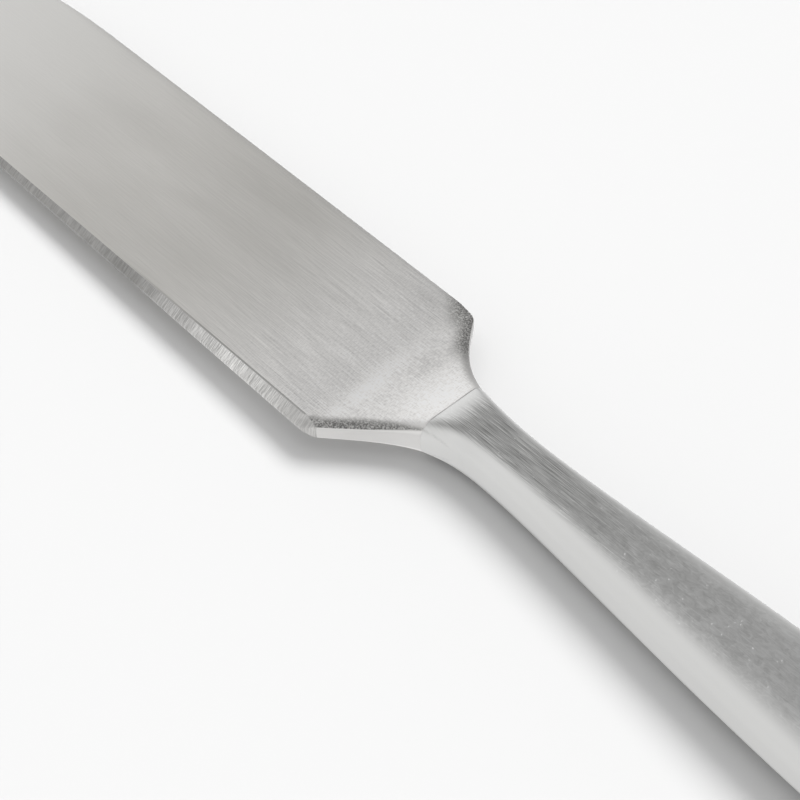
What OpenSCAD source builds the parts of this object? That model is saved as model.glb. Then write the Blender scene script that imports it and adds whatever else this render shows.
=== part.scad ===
// Butter knife with a forged blade and a hollow handle of two pressed shells.
// X runs from the tip of the blade to the butt, Y towards the back of the blade, Z up.
// The origin lies under the middle of the knife, on the surface that the handle rests on.

/* [Blade] */
// Length of the blade from its tip to the heel corners
blade_len = 80; // [60:1:110]
// Width of the blade between its cutting edge and its back
blade_w = 20; // [17:0.5:25]
// Thickness of the blade at the heel
heel_t = 1.7; // [1.3:0.1:2]
// Thickness of the blade where its nose begins
tip_t = 1; // [0.8:0.1:1.2]
// Thickness of the blunt land along the cutting edge
edge_t = 0.3; // [0.2:0.05:0.5]
// Radius of the rounding along the back of the blade
back_r = 0.25; // [0.15:0.05:0.35]

/* [Nose] */
// Length of the long curve that brings the back down to the tip
back_nose_len = 20; // [14:1:28]
// Length of the short curve that brings the cutting edge up to the tip
edge_nose_len = 12; // [8:1:18]
// Distance of the tip from the middle line, towards the cutting edge
tip_drop = 1.5; // [0:0.5:3]
// Length over which the nose thins to its rim
nose_rim_len = 1; // [0.6:0.1:2]

/* [Shoulder] */
// Length from the heel corners of the blade to the joint with the handle
shoulder_len = 7.6; // [7:0.2:9]
// Size of the hollow curve between the shoulder and the neck on the back's side
back_hollow = 5.2; // [4:0.2:6]
// Size of the hollow curve between the shoulder and the neck on the edge's side
edge_hollow = 2.7; // [2:0.1:3.5]
// Size of the soft corner between the back and its shoulder
back_corner = 0.9; // [0.6:0.1:2]
// Size of the tighter corner between the cutting edge and its shoulder
edge_corner = 0.8; // [0.4:0.1:1.6]
// Length of the scoop that climbs from the flat of the blade to the joint
scoop_len = 9.5; // [8:0.5:12]
// Width of the soft roll along the top edges of the shoulders
roll_w = 1.8; // [1.2:0.1:2.2]
// Height of the upright wall left along the shoulders
shoulder_wall = 1.2; // [0.8:0.1:1.2]

/* [Handle] */
// Length of the handle from the joint to the butt
handle_len = 87.4; // [78:0.2:108]
// Width that the neck would have without the hollow curves of its shoulders
neck_w = 3.7; // [3.6:0.1:4.6]
// Width of the handle at its widest place, also without them
butt_w = 10.8; // [9:0.2:14]
// Length of the rounded end, from the widest place to the butt
butt_len = 14; // [10:1:20]
// Thickness of the handle at its neck
neck_t = 4.9; // [4.7:0.1:5.2]
// Thickness of the handle over its flat part
handle_t = 7.1; // [6.7:0.1:8]
// Distance from the joint at which the flat part begins
flat_start = 46; // [36:1:54]
// Radius along the edges of the handle at the joint
neck_r = 1.65; // [1.3:0.05:1.7]
// Radius along the edges of the flat part of the handle
handle_r = 2.9; // [2.2:0.1:2.9]
// Length of the rise from the joint to the full thickness of the neck
crest_len = 2.6; // [2:0.1:4]
// Height of that rise on each face
crest_h = 0.3; // [0.1:0.05:0.35]
// Distance of the handle's middle line from the blade's, towards the back
handle_offset = 0.16; // [0:0.02:0.5]

/* [Construction] */
// Wall thickness of the pressed handle shells
wall = 0.85; // [0.6:0.05:1]
// Length of the spigot behind the shoulder that plugs the handle's mouth
spigot_len = 4; // [3:0.5:6]
// Clearance between the spigot and the handle shells
spigot_gap = 0.05; // [0.02:0.01:0.1]
// Length of the tang behind the spigot
tang_len = 34; // [20:1:40]
// Width of the tang where it leaves the spigot
tang_w = 1.9; // [1.5:0.1:2]
// Width of the tang at its end
tang_end_w = 1.5; // [1.2:0.1:1.9]
// Thickness of the tang
tang_t = 1.8; // [1.4:0.1:2]
// Depth of the notches that key the tang in the cement
notch_d = 0.25; // [0.15:0.05:0.3]
// Length of each notch
notch_len = 2.5; // [1.5:0.5:4]
// Distance from one notch to the next
notch_pitch = 8; // [6:0.5:9]
// Height of the solder bead where it lies on the shells
bead_h = 0.7; // [0.4:0.1:0.8]
// Height of the solder bead at its inner edge
bead_tip_h = 0.25; // [0.15:0.05:0.35]
// Width of the solder bead, from the shells inwards
bead_w = 0.4; // [0.25:0.05:0.45]

/* [Hidden] */

// Steepness of the shoulders where they run straight, as rise over run
back_slope_share = 1.76;
edge_slope_share = 0.97;
// Exponents of the handle's swell: how slowly it starts and how early it levels off
swell_start_share = 1.68;
swell_level_share = 4.2;
// Exponent of the growth of the handle's thickness
thick_share = 1.35;
// Exponent of the rounded butt, where 2 is an ellipse
butt_share = 2.3;
// Share of the nose's thickness that is left at its rim
rim_share = 0.5;
// Share of the butt's and the nose's length at which the last section lies
last_share = 0.9995;

corner_steps = 5;
body_steps = 8;
nose_steps = 9;
heel_steps = 22;
neck_steps = 12;
grip_steps = 16;
butt_steps = 9;
overrun = 0.5;

total_len = blade_len + shoulder_len + handle_len;
joint_x = blade_len + shoulder_len - total_len / 2;
mid_z = handle_t / 2;
tip_x = -(blade_len + shoulder_len);
back_nose_x = tip_x + back_nose_len;
edge_nose_x = tip_x + edge_nose_len;
heel_start = -(shoulder_len + roll_w);
swell_end = handle_len - butt_len;
neck_end = crest_len + spigot_len + shoulder_len;

function ease(s) = let (c = min(max(s, 0), 1)) c * c * (3 - 2 * c);

// Softened minimum of two lengths, rounded over the length k
function soft_min(a, b, k) = let (h = max(k - abs(a - b), 0)) min(a, b) - h * h / (4 * k);

// Extra half width that a shoulder and its hollow curve add on one side, which is a branch of a
// hyperbola that reaches the blade's full width at the heel corner
function shoulder(x, slope, hollow, rise) =
    let (
        q = 2 * rise / slope,
        d = x + shoulder_len + (hollow * hollow - q * q) / (2 * q)
    )
    slope * (sqrt(d * d + hollow * hollow) - d) / 2;
function back_shoulder(x) =
    shoulder(x, back_slope_share, back_hollow, blade_w / 2 - handle_offset - neck_w / 2);
function edge_shoulder(x) =
    shoulder(x, edge_slope_share, edge_hollow, blade_w / 2 + handle_offset - neck_w / 2);

// Half width of the handle without its rounded end
function swell(x) =
    let (s = min(max(x, 0) / swell_end, 1))
    neck_w / 2 + (butt_w - neck_w) / 2 * (1 - pow(1 - pow(s, swell_start_share), swell_level_share));

// Half width, half thickness and corner radius of the handle at x, inset all round by d
function butt_round(x, d) =
    let (s = max(x - swell_end, 0) / (butt_len - d))
    pow(max(1 - pow(s, butt_share), 0), 1 / butt_share);
function handle_back(x, d) = handle_offset + (swell(x) + back_shoulder(x) - d) * butt_round(x, d);
function handle_front(x, d) = handle_offset - (swell(x) + edge_shoulder(x) - d) * butt_round(x, d);
function growth(x) = 1 - pow(1 - min(max(x, 0) / flat_start, 1), thick_share);
function handle_corner(x) = neck_r + (handle_r - neck_r) * growth(x);
function handle_half_t(x, d) =
    let (
        crest = max(1 - max(x, 0) / crest_len, 0),
        full = (neck_t + (handle_t - neck_t) * growth(x)) / 2 - crest_h * crest * crest,
        r = handle_corner(x),
        left = min(handle_len - x, r),
        end_drop = r - sqrt(r * r - (r - left) * (r - left))
    )
    full - d - end_drop * (r - d) / r;

// Stations along the handle, from the distance x0 to the end that is inset by d
function handle_stations(x0, d) = concat(
    [for (i = [0:neck_steps - 1]) x0 + (neck_end - x0) * i / neck_steps],
    [for (i = [0:grip_steps - 1]) neck_end + (swell_end - neck_end) * i / grip_steps],
    [for (i = [0:butt_steps]) swell_end + (butt_len - d) * last_share * sin(90 * i / butt_steps)]
);

// Quarter corner from the side wall to the flat, of width a and height b, at the corner point y, z
function corner(y, z, a, b, side) = [
    for (k = [0:corner_steps])
        [y - side * a * (1 - cos(90 * k / corner_steps)), z - b * (1 - sin(90 * k / corner_steps))]
];
function chamfer(y, z, a, b, side) = [
    for (k = [0:corner_steps]) [y - side * a * k / corner_steps, z - b * (1 - k / corner_steps)]
];
function mix(p, q, s) = [for (k = [0:len(p) - 1]) p[k] * (1 - s) + q[k] * s];
function reversed(p) = [for (k = [len(p) - 1:-1:0]) p[k]];
function flipped(p) = [for (q = p) [q[0], -q[1]]];

// Upper half of a section of the handle, from its back side over the top to its front side
function handle_arch(x, d) =
    let (
        back = handle_back(x, d),
        front = handle_front(x, d),
        t = handle_half_t(x, d),
        r = min(handle_corner(x) - d, (back - front) / 2, t)
    )
    concat(corner(back, t, r, r, 1), reversed(corner(front, t, r, r, -1)));

function at_x(x, section) = [for (p = section) [x, p[0], p[1]]];

// Faces that join rows of points, each row of n points, with the row left open or closed
function grid_faces(first, rows, n, closed) = [
    for (i = [0:rows - 2], j = [0:(closed ? n : n - 1) - 1])
        let (
            a = first + i * n + j,
            b = first + i * n + (j + 1) % n
        )
        each [[a, b + n, b], [a, a + n, b + n]]
];
function turned(faces) = [for (f = faces) reversed(f)];

// Solid through closed rows of points, with a flat face at each end
module loft(rows) {
    n = len(rows[0]);
    last = (len(rows) - 1) * n;
    polyhedron(
        points = [for (row = rows) each row],
        faces = concat(
            grid_faces(0, len(rows), n, true),
            [[for (j = [0:n - 1]) j]],
            [[for (j = [n - 1:-1:0]) last + j]]
        )
    );
}

// Half thickness of the blade and its scoop
function blade_half_t(x) =
    let (
        taper = (x - back_nose_x) / (-shoulder_len - back_nose_x),
        flat = (tip_t + (heel_t - tip_t) * min(max(taper, 0), 1)) / 2,
        climb = max(x + scoop_len, 0) / scoop_len,
        rim = min((x - tip_x) / nose_rim_len, 1)
    )
    (flat + (handle_half_t(0, 0) - heel_t / 2) * climb * climb) * (rim_share + (1 - rim_share) * rim);

// Share of the half width that is left along a nose curve, which is a quarter ellipse
function nose(x, start, length) =
    let (s = min(max(start - x, 0) / length, 1) * last_share)
    sqrt(1 - s * s);
function back_y(x) =
    let (
        flat = -tip_drop + (blade_w / 2 + tip_drop) * nose(x, back_nose_x, back_nose_len),
        cut = handle_offset + neck_w / 2 + back_shoulder(x)
    )
    soft_min(flat, cut, back_corner);
function edge_y(x) =
    let (
        flat = tip_drop + (blade_w / 2 - tip_drop) * nose(x, edge_nose_x, edge_nose_len),
        cut = neck_w / 2 + edge_shoulder(x) - handle_offset
    )
    -soft_min(flat, cut, edge_corner);

// Upper half of a section of the blade, from its back over the flat to its cutting edge
function blade_arch(x) =
    let (
        t = blade_half_t(x),
        behind = ease((x - heel_start) / roll_w),
        cut = ease((x + shoulder_len + edge_corner) / edge_corner),
        near_joint = ease(1 + x / shoulder_len),
        joint_wall = handle_half_t(0, 0) - neck_r,
        roll_b = t - shoulder_wall / 2 - (joint_wall - shoulder_wall / 2) * near_joint,
        a = roll_w + (neck_r - roll_w) * near_joint,
        back_a = back_r + (a - back_r) * behind,
        back_b = back_r + (roll_b - back_r) * behind,
        back = corner(back_y(x), t, back_a, back_b, 1),
        bevel = t - edge_t / 2,
        front = mix(
            chamfer(edge_y(x), t, bevel, bevel, -1),
            corner(edge_y(x), t, a, roll_b, -1),
            cut
        )
    )
    concat(back, reversed(front));

function blade_row(x) =
    let (arch = blade_arch(x))
    [for (p = concat(arch, flipped(reversed(arch)))) [x, p[0], p[1]]];
function spigot_row(x) =
    let (arch = handle_arch(x, wall + spigot_gap))
    at_x(x, concat(arch, flipped(reversed(arch))));

blade_stations = concat(
    [for (i = [0:nose_steps - 1]) tip_x + edge_nose_len * (1 - last_share * cos(90 * i / nose_steps))],
    [for (i = [0:body_steps - 1]) edge_nose_x + (heel_start - edge_nose_x) * i / body_steps],
    [for (i = [0:heel_steps]) heel_start - heel_start * i / heel_steps]
);

module place() {
    translate([joint_x, 0, mid_z]) children();
}

// Flat tang with notches along both sides, which also shapes its own bed in the cement
module tang() {
    notches = floor((tang_len - notch_len) / notch_pitch);
    difference() {
        translate([0, 0, -tang_t / 2])
            linear_extrude(tang_t)
                polygon([
                    [spigot_len - overrun, handle_offset - tang_w / 2],
                    [spigot_len, handle_offset - tang_w / 2],
                    [spigot_len + tang_len, handle_offset - tang_end_w / 2],
                    [spigot_len + tang_len, handle_offset + tang_end_w / 2],
                    [spigot_len, handle_offset + tang_w / 2],
                    [spigot_len - overrun, handle_offset + tang_w / 2]
                ]);
        for (i = [1:notches], side = [-1, 1])
            let (half_w = tang_w / 2 - (tang_w - tang_end_w) / 2 * i * notch_pitch / tang_len)
            translate([spigot_len + i * notch_pitch, handle_offset + side * half_w, 0])
                cube([notch_len, 2 * notch_d, tang_t + 2 * overrun], center = true);
    }
}

module blade() {
    color("silver")
        place()
            union() {
                loft(concat(
                    [for (x = blade_stations) blade_row(x)],
                    [for (i = [0:neck_steps]) spigot_row(spigot_len * i / neck_steps)]
                ));
                tang();
            }
}

// Pressed shell: outer skin, inner skin, the flat rim between them and the open mouth
module handle_half() {
    outer = [for (x = handle_stations(0, 0)) at_x(x, handle_arch_to_rim(x, 0))];
    inner = [for (x = handle_stations(0, wall)) at_x(x, handle_arch_to_rim(x, wall))];
    n = len(outer[0]);
    rows = len(outer);
    skin = rows * n;
    rim = [
        for (i = [0:rows - 2])
            let (a = i * n, b = a + n)
            each [
                [a, skin + b, b],
                [a, skin + a, skin + b],
                [a + n - 1, b + n - 1, skin + b + n - 1],
                [a + n - 1, skin + b + n - 1, skin + a + n - 1]
            ]
    ];
    mouth = [for (j = [0:n - 2]) each [[j, skin + j + 1, skin + j], [j, j + 1, skin + j + 1]]];
    tail = skin - n;
    polyhedron(
        points = concat([for (row = outer) each row], [for (row = inner) each row]),
        faces = concat(
            grid_faces(0, rows, n, false),
            turned(grid_faces(skin, rows, n, false)),
            rim,
            mouth,
            [[for (j = [n - 1:-1:0]) tail + j]],
            [[for (j = [0:n - 1]) skin + tail + j]],
            [[tail, skin + tail, skin + tail + n - 1, tail + n - 1]]
        )
    );
}
function handle_arch_to_rim(x, d) =
    let (arch = handle_arch(x, d))
    concat([[arch[0][0], 0]], arch, [[arch[len(arch) - 1][0], 0]]);

module handle_upper_half() {
    color("gainsboro") place() handle_half();
}

module handle_lower_half() {
    color("lightgray") place() mirror([0, 0, 1]) handle_half();
}

// Section of the bead on one side, from the shells inwards
function bead_row(i, side) =
    let (
        xo = handle_stations(spigot_len, wall)[i],
        xi = handle_stations(spigot_len, wall + bead_w)[i],
        yo = side > 0 ? handle_back(xo, wall) : handle_front(xo, wall),
        yi = side > 0 ? handle_back(xi, wall + bead_w) : handle_front(xi, wall + bead_w)
    )
    [[xo, yo, bead_h / 2], [xo, yo, -bead_h / 2], [xi, yi, -bead_tip_h / 2], [xi, yi, bead_tip_h / 2]];

last_station = len(handle_stations(spigot_len, wall)) - 1;

module handle_seam_solder() {
    color("darkgray")
        place()
            loft(concat(
                [for (i = [0:last_station]) bead_row(i, -1)],
                [for (i = [last_station:-1:0]) bead_row(i, 1)]
            ));
}

// Section of the cement, which fills the shells and lies round the bead
function cement_row(i) =
    let (
        x = handle_stations(spigot_len, wall)[i],
        arch = at_x(x, handle_arch(x, wall)),
        back = bead_row(i, 1),
        front = bead_row(i, -1),
        under = [for (p = arch) [p[0], p[1], -p[2]]]
    )
    concat(
        [back[3], back[0]],
        arch,
        [front[0], front[3], front[2], front[1]],
        reversed(under),
        [back[1], back[2]]
    );

module tang_cement() {
    color("tan")
        place()
            difference() {
                loft([for (i = [0:last_station]) cement_row(i)]);
                tang();
            }
}

blade();
handle_upper_half();
handle_lower_half();
tang_cement();
handle_seam_solder();
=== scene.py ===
import math

import bmesh
import bpy
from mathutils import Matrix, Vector


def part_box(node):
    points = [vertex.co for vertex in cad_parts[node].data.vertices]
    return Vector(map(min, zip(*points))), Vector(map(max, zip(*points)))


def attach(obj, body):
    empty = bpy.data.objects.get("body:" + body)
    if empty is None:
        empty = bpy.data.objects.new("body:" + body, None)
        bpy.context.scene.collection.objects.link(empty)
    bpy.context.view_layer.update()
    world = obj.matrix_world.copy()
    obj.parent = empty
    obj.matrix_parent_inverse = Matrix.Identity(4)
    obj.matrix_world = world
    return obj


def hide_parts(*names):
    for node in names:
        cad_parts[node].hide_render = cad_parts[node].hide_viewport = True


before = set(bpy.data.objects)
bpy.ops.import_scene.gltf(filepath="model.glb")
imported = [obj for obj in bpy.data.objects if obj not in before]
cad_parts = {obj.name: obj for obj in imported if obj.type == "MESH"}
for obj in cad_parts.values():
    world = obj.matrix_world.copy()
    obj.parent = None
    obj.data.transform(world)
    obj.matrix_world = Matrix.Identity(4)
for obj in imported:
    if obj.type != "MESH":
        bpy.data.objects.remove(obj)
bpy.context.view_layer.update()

mm = 0.001
tiny = 1e-7  # closer points count as one
bladeLow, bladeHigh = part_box("blade")
gripLow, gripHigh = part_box("handle_upper_half")
jointX = gripLow.x  # where the blade's shoulder meets the handle
seamZ = gripLow.z  # plane in which the two handle shells meet

# The plan of the knife, in mm. x counts from the joint, towards the butt.
plan = {
    "bladeLength": (jointX - bladeLow.x) / mm,
    "bladeWidth": (bladeHigh.y - bladeLow.y) / mm,
    "handleLength": (gripHigh.x - jointX) / mm,
    "shoulderLength": 7.6,  # from the front's heel corner to the joint
    "backShoulder": 7.06,  # the back's heel corner lies nearer to the joint
    "backSteep": 2.11,  # rise over run of the cut behind the back's heel corner
    "frontSteep": 0.97,
    "backHollow": 4.7,  # how softly the cut runs out into the neck
    "frontHollow": 2.7,
    "swell": (1.68, 4.2),  # how the width leaves the neck, and how it settles at the butt
    "offset": 0.16,  # the handle's middle line lies this far towards the back
    "neckWidth": 3.7,
    "buttWidth": 10.8,
    "buttLength": 14,
    "buttRound": 2.3,  # 2 is an ellipse, more is squarer
    "neckThick": 4.9,
    "handleThick": 2 * (gripHigh.z - seamZ) / mm,
    "flatStart": 46,  # the thickness grows up to here
    "growthCurve": 1.35,
    "neckCorner": 1.65,
    "gripCorner": 2.9,
    "neckFlat": 0.8,  # how far a corner reaches across, against its height: a flat top at the neck
    "gripFlat": 1.55,  # and a softly rolled one at the butt
    "crestLength": 2.6,  # the little rise just behind the joint
    "crestHeight": 0.36,
}


fits = 0.97  # two corners never quite meet in the middle
nearEnd = 0.9995  # round ends stop just short of closing to a point


def clamp(s):
    return min(max(s, 0.0), 1.0)


def ease(s):
    s = clamp(s)
    return s * s * (3 - 2 * s)


# Runs softly from 0 at the start to 1 at the end
def between(x, start, end):
    return ease((x - start) / (end - start))


def softMin(a, b, width):
    h = max(width - abs(a - b), 0)
    return min(a, b) - h * h / (4 * width)


def cutBehindHeel(x, start, steep, hollow, rise):
    run = 2 * rise / steep
    d = x + start + (hollow * hollow - run * run) / (2 * run)
    return steep * (math.sqrt(d * d + hollow * hollow) - d) / 2


def backCut(x):
    rise = plan["bladeWidth"] / 2 - plan["offset"] - plan["neckWidth"] / 2
    return cutBehindHeel(x, plan["backShoulder"], plan["backSteep"], plan["backHollow"], rise)


def frontCut(x):
    rise = plan["bladeWidth"] / 2 + plan["offset"] - plan["neckWidth"] / 2
    return cutBehindHeel(x, plan["shoulderLength"], plan["frontSteep"], plan["frontHollow"], rise)


def growth(x):
    return 1 - (1 - clamp(x / plan["flatStart"])) ** plan["growthCurve"]


# One row across the handle: where its back and front lie, half its thickness, its corners
def handleRow(x):
    swellEnd = plan["handleLength"] - plan["buttLength"]
    s = clamp(x / swellEnd)
    leave, settle = plan["swell"]
    half = plan["neckWidth"] / 2
    half += (plan["buttWidth"] - plan["neckWidth"]) / 2 * (1 - (1 - s ** leave) ** settle)
    end = clamp((x - swellEnd) / plan["buttLength"])
    roundEnd = max(1 - end ** plan["buttRound"], 0) ** (1 / plan["buttRound"])
    crest = clamp(1 - x / plan["crestLength"])
    corner = plan["neckCorner"] + (plan["gripCorner"] - plan["neckCorner"]) * growth(x)
    thick = (plan["neckThick"] + (plan["handleThick"] - plan["neckThick"]) * growth(x)) / 2
    thick -= plan["crestHeight"] * crest * crest
    left = min(plan["handleLength"] - x, corner)
    thick -= corner - math.sqrt(max(corner ** 2 - (corner - left) ** 2, 0))
    back = plan["offset"] + (half + backCut(x)) * roundEnd
    front = plan["offset"] - (half + frontCut(x)) * roundEnd
    across = plan["neckFlat"] + (plan["gripFlat"] - plan["neckFlat"]) * growth(x)
    a = min(corner * across, (back - front) / 2 * fits)
    b = min(corner, thick * fits)
    return {"x": x, "back": back, "front": front, "half": thick, "corners": [(a, b), (a, b)]}


# The pieces are drawn out of a ring of points, row by row
halfStep = math.radians(7.5)  # the ring has 24 points, none of them on an axis


def deselectAll():
    if bpy.context.mode != "OBJECT":
        bpy.ops.object.mode_set(mode="OBJECT")
    bpy.ops.object.select_all(action="DESELECT")


def makeActive(piece):
    deselectAll()
    piece.select_set(True)
    bpy.context.view_layer.objects.active = piece


def startEditing(piece):
    makeActive(piece)
    bpy.ops.object.mode_set(mode="EDIT")
    bpy.ops.mesh.select_all(action="SELECT")


def selectPoints(piece, test):
    bm = bmesh.from_edit_mesh(piece.data)
    for v in bm.verts:
        v.select_set(False)
    bm.select_flush(False)
    for v in bm.verts:
        if test(v):
            v.select_set(True)
    bm.select_flush(True)
    bmesh.update_edit_mesh(piece.data)


def selectEdges(piece, test):
    bm = bmesh.from_edit_mesh(piece.data)
    for e in bm.edges:
        e.select_set(False)
    for e in bm.edges:
        if test(e):
            e.select_set(True)
    bmesh.update_edit_mesh(piece.data)


def selectedPoints(piece):
    bm = bmesh.from_edit_mesh(piece.data)
    return [v.index for v in bm.verts if v.select]


# Centre and radii of each corner of a row, in the row frame
def cornersOf(row):
    out = []
    for side, (a, b) in zip((1, -1), row["corners"]):
        edge = row["back"] if side > 0 else row["front"]
        for up in (1, -1):
            y, z = (edge - side * a) * mm, seamZ + up * (row["half"] - b) * mm
            centre = Vector((jointX + row["x"] * mm, y, z))
            out.append((side, up, centre, a * mm / math.cos(halfStep), b * mm / math.cos(halfStep)))
    return out


def startRing(name, row):
    deselectAll()
    bpy.ops.mesh.primitive_circle_add(vertices=24, radius=mm, rotation=(0, math.pi / 2, 0))
    ring = bpy.context.object
    ring.name = name
    bpy.ops.object.transform_apply(location=True, rotation=True, scale=True)
    bpy.ops.object.mode_set(mode="EDIT")
    bpy.ops.mesh.select_mode(type="VERT")
    bpy.ops.mesh.select_all(action="SELECT")
    bpy.ops.transform.rotate(value=halfStep, orient_axis="X", center_override=(0, 0, 0))
    bpy.ops.transform.translate(value=(jointX, 0, seamZ))
    middle = Vector((jointX, 0, seamZ))
    fitRow(ring, [(side, up, middle, mm, mm) for side in (1, -1) for up in (1, -1)], cornersOf(row))
    return ring


# Scales and moves each corner of the selected row from where it was to where the next row has it
def fitRow(ring, before, after):
    bm = bmesh.from_edit_mesh(ring.data)
    bm.verts.ensure_lookup_table()
    midY = sum(c[2].y for c in before) / len(before)
    row = selectedPoints(ring)
    places = {i: bm.verts[i].co.copy() for i in row}
    for (side, up, centre, a, b), (_, _, newCentre, newA, newB) in zip(before, after):
        corner = {i for i in row if (places[i].y - midY) * side > 0 and (places[i].z - seamZ) * up > 0}
        if not corner:
            continue
        selectPoints(ring, lambda v: v.index in corner)
        bpy.ops.transform.resize(value=(1, newA / a, newB / b), center_override=centre)
        bpy.ops.transform.translate(value=newCentre - centre)
    row = set(row)
    selectPoints(ring, lambda v: v.index in row)


def extrudeRows(ring, rows):
    for before, after in zip(rows, rows[1:]):
        bpy.ops.mesh.extrude_region_move()
        fitRow(ring, cornersOf(before), cornersOf(after))


def applyModifier(piece, name, kind, **settings):
    modifier = piece.modifiers.new(name, kind)
    for key, value in settings.items():
        setattr(modifier, key, value)
    makeActive(piece)
    bpy.ops.object.modifier_apply(modifier=modifier.name)


def smoothByAngle(piece, degrees):
    makeActive(piece)
    bpy.ops.object.shade_smooth_by_angle(angle=math.radians(degrees))


handle = {
    "wall": 0.85,
    "edgeBreak": 0.005,  # the rounding left on the mouth's edge
    "neckReach": 6.6,  # the rows stand closer together up to here behind the shoulder's length
    "neckRows": 12,
    "gripRows": 16,
    "buttRows": 9,
    "smooth": 2,  # levels of subdivision
    "softAngle": 35,  # degrees: sharper edges stay sharp
}


# The same row, smaller all round
def shrunk(row, by):
    row = dict(row)
    row["back"] -= by
    row["front"] += by
    row["half"] -= by
    row["corners"] = [(a - by, b - by) for a, b in row["corners"]]
    return row


def makeUpperSkin():
    neckEnd = plan["shoulderLength"] + handle["neckReach"]
    swellEnd = plan["handleLength"] - plan["buttLength"]
    stations = [neckEnd * i / handle["neckRows"] for i in range(1, handle["neckRows"])]
    stations += [
        neckEnd + (swellEnd - neckEnd) * i / handle["gripRows"] for i in range(handle["gripRows"])
    ]
    stations += [
        swellEnd + plan["buttLength"] * nearEnd * math.sin(math.pi / 2 * i / handle["buttRows"])
        for i in range(handle["buttRows"] + 1)
    ]
    rows = [shrunk(handleRow(0), handle["edgeBreak"]), handleRow(handle["edgeBreak"])]
    rows += [handleRow(x) for x in stations]

    shell = startRing("handle_upper_shell", rows[0])
    # keep the upper half of the ring, then pull its two ends down to the seam
    selectPoints(shell, lambda v: v.co.z < seamZ)
    bpy.ops.mesh.delete(type="VERT")
    selectPoints(shell, lambda v: True)
    extrudeRows(shell, rows)
    bpy.ops.mesh.edge_face_add()  # closes the butt
    bm = bmesh.from_edit_mesh(shell.data)
    lowest = {}
    for v in bm.verts:
        key = (round(v.co.x / mm, 4), v.co.y > plan["offset"] * mm)
        if key not in lowest or v.co.z < lowest[key][0]:
            lowest[key] = (v.co.z, v.index)
    rim = {i for _, i in lowest.values()}
    selectPoints(shell, lambda v: v.index in rim)
    bpy.ops.mesh.select_mode(type="EDGE")
    bpy.ops.mesh.extrude_region_move()
    bpy.ops.transform.resize(value=(1, 1, 0), center_override=(0, 0, seamZ))
    bpy.ops.mesh.select_mode(type="VERT")
    bpy.ops.mesh.select_all(action="SELECT")
    bpy.ops.mesh.normals_make_consistent(inside=False)
    bpy.ops.object.mode_set(mode="OBJECT")
    applyModifier(
        shell, "smooth", "SUBSURF",
        levels=handle["smooth"], render_levels=handle["smooth"], boundary_smooth="PRESERVE_CORNERS",
    )
    return shell


# The lower shell is the mirror image, so its normals are turned out again before it gets a wall
def makeLowerSkin(upper):
    makeActive(upper)
    bpy.ops.object.duplicate()
    lower = bpy.context.object
    lower.name = "handle_lower_shell"
    startEditing(lower)
    bpy.ops.transform.resize(value=(1, 1, -1), center_override=(0, 0, seamZ))
    bpy.ops.mesh.remove_doubles(threshold=tiny)
    bpy.ops.mesh.normals_make_consistent(inside=False)
    bpy.ops.object.mode_set(mode="OBJECT")
    return lower


def giveWall(shell):
    applyModifier(
        shell, "wall", "SOLIDIFY", thickness=handle["wall"] * mm, offset=-1, use_even_offset=True,
    )
    smoothByAngle(shell, handle["softAngle"])


upperShell = makeUpperSkin()
lowerShell = makeLowerSkin(upperShell)
giveWall(upperShell)
giveWall(lowerShell)
print("handle shells:", len(upperShell.data.polygons), "faces each")

blade = {
    "heelThick": 1.7,
    "tipThick": 1.0,
    "edgeLand": 0.3,  # the blunt edge itself
    "backCorner": 0.12,
    "frontCorner": 0.08,
    "backNose": 20,  # the back is round over this length at the tip, the front over less
    "frontNose": 12,
    "tipDrop": 1.5,  # the tip lies this far towards the cutting edge
    "noseRim": 1,
    "backHeelSoft": 0.4,
    "frontHeelSoft": 0.8,
    "heelDroop": 0.2,  # the back falls away a little just ahead of its corner
    "droopLength": 1.9,
    "scoopLength": 9.5,  # the blade thickens towards the joint over this length
    "rollWidth": 1.8,  # the rolled edges behind the heel
    "shoulderWall": 1.2,
    "edgeBreak": 0.005,
    "noseRows": 9,
    "flatRows": 8,
    "heelRows": 22,
    "spigotLength": 4,
    "spigotGap": 0.05,
    "tangLength": 34,
    "tangWidth": 1.9,
    "tangEndWidth": 1.5,
    "tangThick": 1.8,
    "notchPitch": 8,
    "notchLength": 2.5,
    "notchDepth": 0.25,
    "flatColumns": 5,
    "bevelRun": 0.9,  # width of the ground strip at the heel
    "smooth": 2,
    "softAngle": 25,
}


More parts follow.
